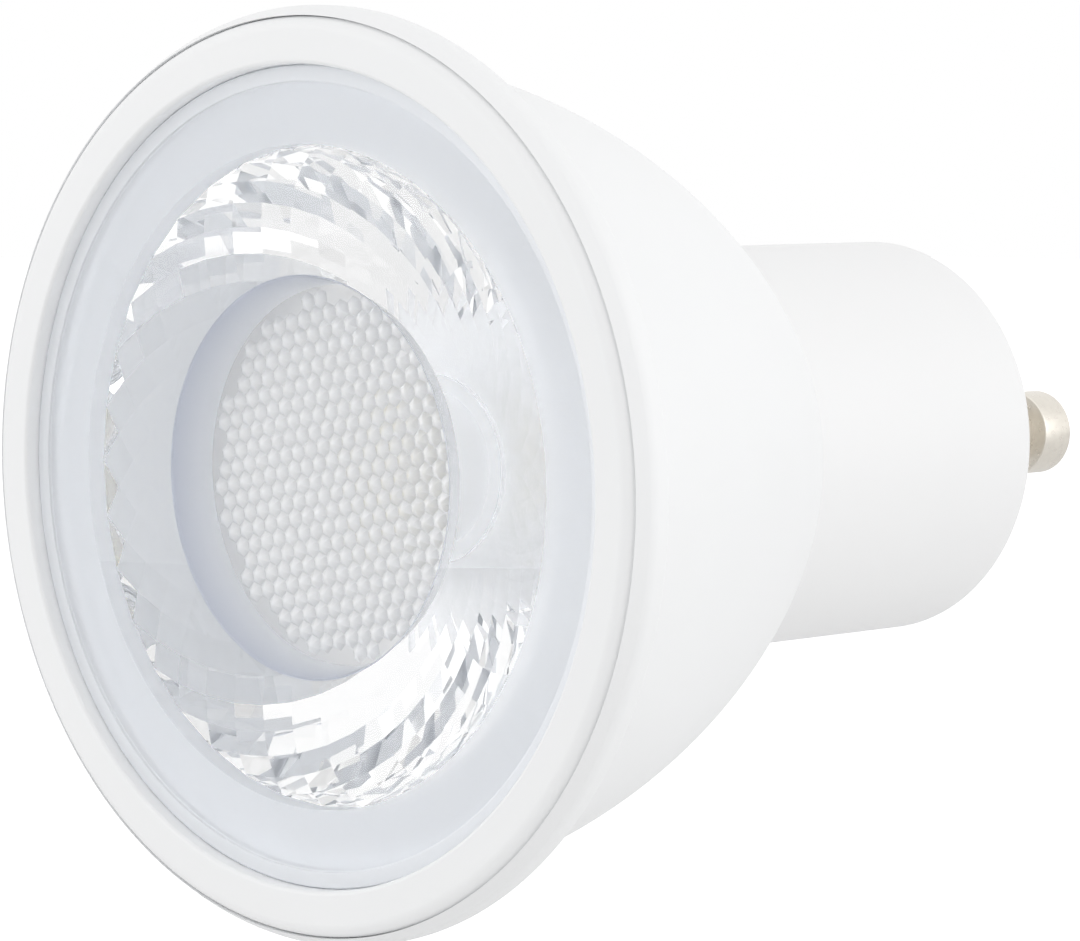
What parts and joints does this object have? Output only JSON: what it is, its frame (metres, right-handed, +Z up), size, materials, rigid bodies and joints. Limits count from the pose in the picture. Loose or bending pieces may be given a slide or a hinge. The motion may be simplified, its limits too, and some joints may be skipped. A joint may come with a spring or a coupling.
{
  "type": "gu10 led spotlight bulb",
  "caption": "Reflector-shaped spotlight bulb with a white bowl, a clear faceted lens with a honeycomb middle, and a twist-and-lock base with headed contact pins.",
  "frame": {"origin": "midway between the two contact pins, level with the shoulders of their heads", "axes": "+Y along the lamp's axis from the lens to the base, the way the pins point; the pins stand apart along X; +Z up"},
  "size_m": [0.05, 0.058, 0.05],
  "materials": {
    "white_plastic": "smooth satin white moulding",
    "base_plastic": "smooth satin white moulding",
    "pin_metal": "nickel-plated brass",
    "clear_acrylic": "clear polished moulding with a frosted flange",
    "white_lacquer": "white lacquer on drawn metal",
    "thermal_rubber": "soft grey sheet",
    "white_board": "white solder mask",
    "carrier_ceramic": "pale ceramic",
    "yellow_phosphor": "yellow phosphor layer",
    "screw_steel": "plain steel",
    "lead_insulation": "thin white insulation",
    "mains_insulation": "thin white insulation",
    "green_board": "green solder mask",
    "capacitor_sleeve": "dark shrink sleeve",
    "resistor_coat": "baked lacquer",
    "ferrite": "dark sintered ferrite",
    "copper_wire": "enamelled copper wire",
    "film_case": "moulded case",
    "black_epoxy": "black moulding compound"
  },
  "bodies": {
    "root": {"front_ring": "white_plastic", "housing_bowl": "white_plastic", "base_neck": "base_plastic", "contact_pin_left": "pin_metal", "contact_pin_right": "pin_metal", "lens": "clear_acrylic", "heat_sink_cup": "white_lacquer", "thermal_pad": "thermal_rubber", "led_board": "white_board", "led_carrier": "carrier_ceramic", "led_phosphor": "yellow_phosphor", "board_screws": "screw_steel", "led_leads": "lead_insulation", "mains_wires": "mains_insulation", "driver_board": "green_board", "filter_capacitor": "capacitor_sleeve", "fusible_resistor": "resistor_coat", "choke_core": "ferrite", "choke_winding": "copper_wire", "film_capacitor": "film_case", "controller_chip": "black_epoxy", "bridge_rectifier": "black_epoxy"}
  },
  "joints": []
}
